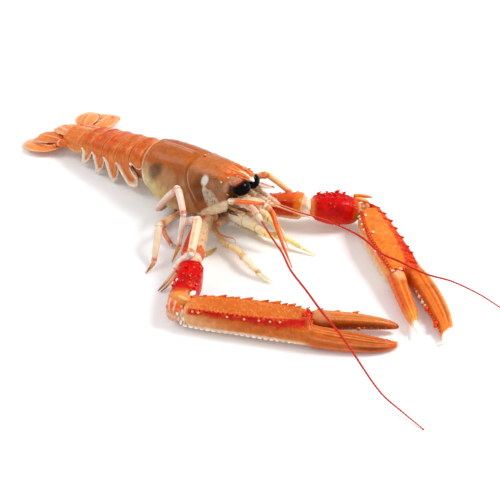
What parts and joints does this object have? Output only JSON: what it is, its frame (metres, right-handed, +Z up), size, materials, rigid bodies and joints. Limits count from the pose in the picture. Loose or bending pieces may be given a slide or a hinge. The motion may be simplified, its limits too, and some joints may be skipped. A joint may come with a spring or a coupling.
{
  "type": "raw langoustine",
  "caption": "Whole raw langoustine lying on its belly, long spiny claws stretched forward, walking legs folded beside it, long feelers and a spread tail fan.",
  "frame": {"origin": "bottom centre of the whole animal's bounding box, on the surface it lies on", "axes": "+X from the tail to the claws along the body, +Y to the animal's left, +Z up"},
  "size_m": [0.2771, 0.1146, 0.0325],
  "materials": {
    "shell_brown": "satin, translucent brownish orange shell, moist",
    "shell_orange": "satin, bright orange shell with thin pale rear lines, moist",
    "tail_fan": "thin, slightly translucent pinkish orange plates, moist",
    "eye_black": "high gloss, wet black",
    "antenna_red": "satin red",
    "shell_pink": "satin, pinkish beige with red streaks",
    "wrist_red": "glossy saturated red with spines",
    "claw_orange": "granular orange with a red keel and white tubercles, moist",
    "leg_pink": "satin, pinkish white",
    "leg_cream": "satin, cream to pale yellow, translucent",
    "mouth_cream": "satin, translucent cream"
  },
  "bodies": {
    "root": {"abdomen_1": "shell_orange", "abdomen_2": "shell_orange", "abdomen_3": "shell_orange", "abdomen_4": "shell_orange", "abdomen_5": "shell_orange", "abdomen_6": "shell_orange", "antenna_base_l": "shell_pink", "antenna_base_r": "shell_pink", "antenna_l": "antenna_red", "antenna_r": "antenna_red", "antenna_scale_l": "shell_pink", "antenna_scale_r": "shell_pink", "antennule_l": "shell_pink", "antennule_r": "shell_pink", "carapace": "shell_brown", "carpus_l": "wrist_red", "carpus_r": "wrist_red", "dactylus_l": "claw_orange", "dactylus_r": "claw_orange", "eye_l": "eye_black", "eye_r": "eye_black", "leg_2_l": "leg_pink", "leg_2_r": "leg_cream", "leg_3_l": "leg_cream", "leg_3_r": "leg_pink", "leg_4_l": "leg_cream", "leg_4_r": "leg_cream", "leg_5_l": "leg_pink", "leg_5_r": "leg_pink", "maxilliped_l": "mouth_cream", "maxilliped_r": "mouth_cream", "merus_l": "claw_orange", "merus_r": "claw_orange", "mouth": "mouth_cream", "palm_l": "claw_orange", "palm_r": "claw_orange", "telson": "tail_fan", "uropod_base_l": "tail_fan", "uropod_base_r": "tail_fan", "uropod_in_l": "tail_fan", "uropod_in_r": "tail_fan", "uropod_out_l": "tail_fan", "uropod_out_r": "tail_fan"}
  },
  "joints": []
}
